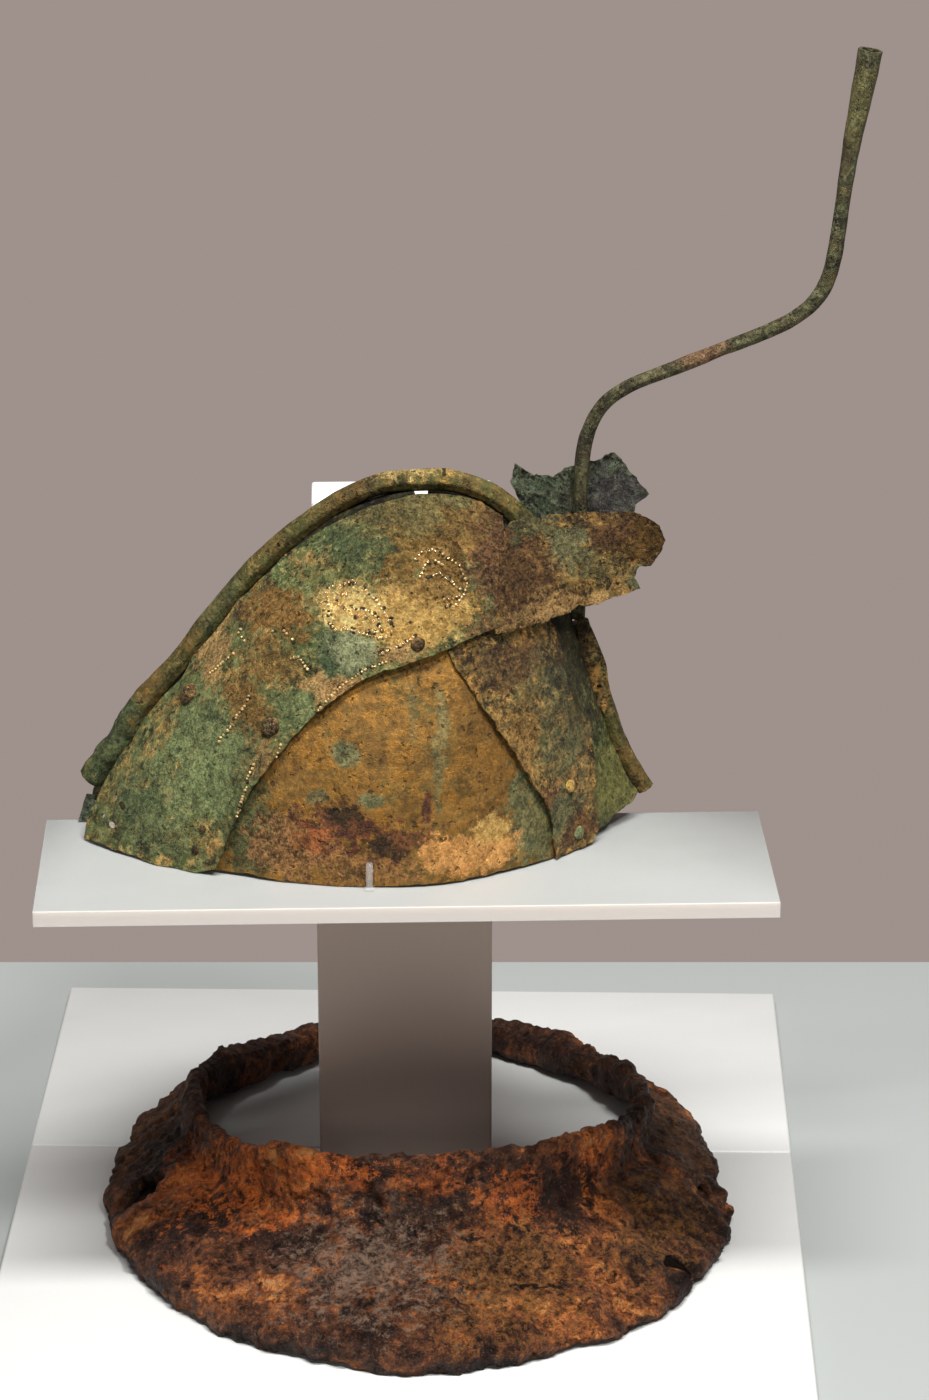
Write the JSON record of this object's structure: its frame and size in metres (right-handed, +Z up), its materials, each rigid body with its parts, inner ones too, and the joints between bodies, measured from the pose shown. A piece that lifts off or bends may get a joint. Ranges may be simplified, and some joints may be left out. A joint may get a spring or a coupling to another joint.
{
  "type": "crested helmet with iron brim on display stand",
  "caption": "Riveted sheet-bronze helmet crown with ridge tube and swan-neck crest rod on a shelf, its separate iron brim round the post of a plain white stand.",
  "frame": {"origin": "on the underside of the stand's base, about at its middle, under the helmet", "axes": "+X to the helmet's front, where the crest rod leans; +Y away from the shown side; +Z up"},
  "size_m": [0.3665, 0.407, 0.5228],
  "materials": {
    "patina_bronze": "excavated sheet bronze, green and brown patina with bare gold patches",
    "green_bronze": "excavated sheet bronze, dull green patina",
    "gold_bronze": "excavated sheet bronze, worn to brown gold",
    "mottled_bronze": "excavated sheet bronze, mottled brown, grey and green",
    "brown_bronze": "excavated sheet bronze, dark brown and purple with pitting",
    "dark_bronze": "excavated sheet bronze, blackish green crust",
    "tube_bronze": "bronze tube, olive brown patina",
    "rod_bronze": "bronze rod, olive green patina with copper spots",
    "rivet_bronze": "bronze rivet heads, brown and pitted",
    "rusty_iron": "heavily corroded iron, orange and dark brown crust",
    "white_acrylic": "satin white",
    "frosted_acrylic": "frosted, slightly translucent edge",
    "clear_acrylic": "clear, polished"
  },
  "bodies": {
    "root": {"side_plate_lower": "gold_bronze", "far_plate_lower": "gold_bronze", "side_sheet_upper": "patina_bronze", "far_sheet_upper": "green_bronze", "ridge_under_sheet": "green_bronze", "ridge_saddle_back": "green_bronze", "ridge_saddle_front": "green_bronze", "front_wall": "green_bronze", "far_front_wall": "green_bronze", "front_plate": "mottled_bronze", "far_front_plate": "mottled_bronze", "tube_flap": "mottled_bronze", "front_lobe": "brown_bronze", "far_tongue": "dark_bronze", "back_tab": "dark_bronze", "crest_tube": "tube_bronze", "crest_tube_front": "tube_bronze", "crest_rod": "rod_bronze", "rivet_ridge": "rivet_bronze", "rivet_side": "rivet_bronze", "rivet_overlap": "rivet_bronze", "rivet_corner": "rivet_bronze", "rivet_foot": "rivet_bronze", "rivet_front_upper": "rivet_bronze", "rivet_front_lower": "rivet_bronze", "rivet_far_ridge": "rivet_bronze", "rivet_far_front": "rivet_bronze", "iron_brim": "rusty_iron", "base_plate_back": "white_acrylic", "base_plate_front": "white_acrylic", "post": "white_acrylic", "shelf": "frosted_acrylic", "clear_peg": "clear_acrylic"}
  },
  "joints": []
}
